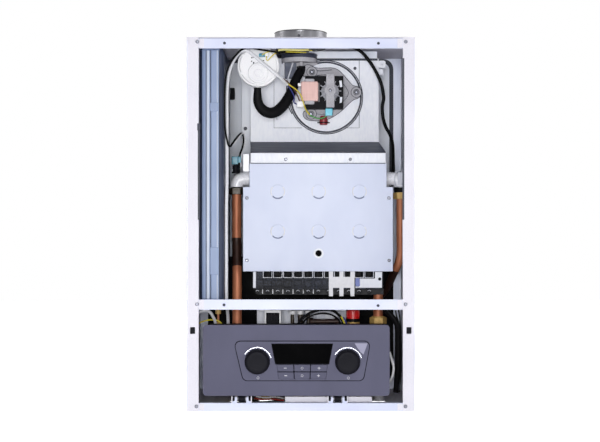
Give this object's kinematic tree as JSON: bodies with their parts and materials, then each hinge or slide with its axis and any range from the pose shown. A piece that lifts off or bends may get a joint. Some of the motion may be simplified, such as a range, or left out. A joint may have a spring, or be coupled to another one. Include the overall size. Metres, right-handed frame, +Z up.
{
  "type": "open gas boiler with burner assembly",
  "caption": "Wall-hung gas boiler with its front cover off: burner with upright flame blades, smoke hood, fan, pipework, expansion vessel and a folding control panel.",
  "frame": {"origin": "centre of the back panel's rear face, which hangs on the wall", "axes": "+X to the right, +Y into the wall, +Z up; the open front faces -Y"},
  "size_m": [0.41, 0.3003, 0.702],
  "materials": {
    "white_paint": "satin powder coat",
    "zinc_sheet": "galvanised sheet, satin",
    "bright_steel": "aluminised sheet, satin",
    "dark_steel": "dark, satin",
    "cast_aluminium": "cast, satin",
    "black_lamination": "black lacquer",
    "coil_tape": "pink winding tape",
    "copper": "drawn copper, satin",
    "brass": "machined brass",
    "vessel_paint": "blue-grey enamel",
    "white_plastic": "white moulding",
    "black_rubber": "smooth",
    "white_sleeve": "woven sleeve",
    "grey_fascia": "fine satin moulding",
    "black_plastic": "satin moulding",
    "red_plastic": "red moulding",
    "display_black": "polished black window",
    "button_grey": "satin moulding"
  },
  "bodies": {
    "casing": {"back_panel": "zinc_sheet", "left_side_panel": "white_paint", "right_side_panel": "white_paint", "top_panel": "white_paint", "bottom_plate": "white_paint", "top_rail": "zinc_sheet", "middle_rail": "zinc_sheet", "bottom_rail": "zinc_sheet", "flue_collar": "zinc_sheet", "smoke_hood": "zinc_sheet", "fan_housing": "cast_aluminium", "motor_bracket": "cast_aluminium", "motor_stator": "black_lamination", "motor_coil": "coil_tape", "bearing_strap": "cast_aluminium", "pressure_switch": "white_plastic", "pressure_hose": "black_rubber", "chamber_cover": "bright_steel", "chamber_shell": "zinc_sheet", "heat_exchanger": "copper", "flow_elbow": "cast_aluminium", "return_elbow": "cast_aluminium", "burner_tray": "bright_steel", "gas_manifold": "dark_steel", "electrode_bracket": "white_plastic", "expansion_vessel": "vessel_paint", "flow_pipe": "copper", "return_pipe": "copper", "gas_pipe": "copper", "gas_valve": "cast_aluminium", "pump": "black_lamination", "hydraulic_block": "brass", "fan_cable_sleeve": "white_sleeve", "sensor_cable": "black_rubber", "return_sensor_cable": "black_rubber", "overheat_thermostat": "red_plastic", "burner_blade_01": "bright_steel", "burner_blade_02": "bright_steel", "burner_blade_03": "bright_steel", "burner_blade_04": "bright_steel", "burner_blade_05": "bright_steel", "burner_blade_06": "bright_steel", "burner_blade_07": "bright_steel", "burner_blade_08": "bright_steel", "burner_blade_09": "bright_steel", "burner_blade_10": "bright_steel", "burner_blade_11": "bright_steel"},
    "control_panel": {"control_fascia": "grey_fascia", "display_window": "display_black", "control_box": "black_plastic"},
    "heating_knob": {"heating_knob": "black_plastic"},
    "hot_water_knob": {"hot_water_knob": "black_plastic"},
    "fan_rotor": {"fan_rotor": "cast_aluminium"},
    "relief_cap": {"relief_cap": "red_plastic"},
    "button_1": {"button_1": "button_grey"},
    "button_2": {"button_2": "button_grey"},
    "button_3": {"button_3": "button_grey"},
    "button_4": {"button_4": "button_grey"},
    "button_5": {"button_5": "button_grey"},
    "button_6": {"button_6": "button_grey"}
  },
  "joints": [
    {"name": "panel_fold", "type": "hinge", "parent": "casing", "child": "control_panel", "pos_m": [0, -0.282, -0.315], "axis": [1, 0, 0], "range_deg": [0, 90]},
    {"name": "heating_knob_turn", "type": "hinge", "parent": "control_panel", "child": "heating_knob", "pos_m": [-0.0783, -0.2868, -0.2473], "axis": [0, 1, 0], "range_deg": [-135, 135]},
    {"name": "hot_water_knob_turn", "type": "hinge", "parent": "control_panel", "child": "hot_water_knob", "pos_m": [0.0842, -0.2868, -0.2476], "axis": [0, 1, 0], "range_deg": [-135, 135]},
    {"name": "fan_spin", "type": "hinge", "parent": "casing", "child": "fan_rotor", "pos_m": [0.0553, -0.199, 0.2497], "axis": [0, 1, 0], "continuous": true},
    {"name": "relief_cap_turn", "type": "hinge", "parent": "casing", "child": "relief_cap", "pos_m": [0.0986, -0.18, -0.178], "axis": [0, 0, 1], "range_deg": [0, 90]},
    {"name": "button_1_press", "type": "slide", "parent": "control_panel", "child": "button_1", "axis": [0, 1, 0], "range_m": [0, 0.001], "stiffness_N_per_m": 400},
    {"name": "button_2_press", "type": "slide", "parent": "control_panel", "child": "button_2", "axis": [0, 1, 0], "range_m": [0, 0.001], "stiffness_N_per_m": 400},
    {"name": "button_3_press", "type": "slide", "parent": "control_panel", "child": "button_3", "axis": [0, 1, 0], "range_m": [0, 0.001], "stiffness_N_per_m": 400},
    {"name": "button_4_press", "type": "slide", "parent": "control_panel", "child": "button_4", "axis": [0, 1, 0], "range_m": [0, 0.001], "stiffness_N_per_m": 400},
    {"name": "button_5_press", "type": "slide", "parent": "control_panel", "child": "button_5", "axis": [0, 1, 0], "range_m": [0, 0.001], "stiffness_N_per_m": 400},
    {"name": "button_6_press", "type": "slide", "parent": "control_panel", "child": "button_6", "axis": [0, 1, 0], "range_m": [0, 0.001], "stiffness_N_per_m": 400}
  ]
}
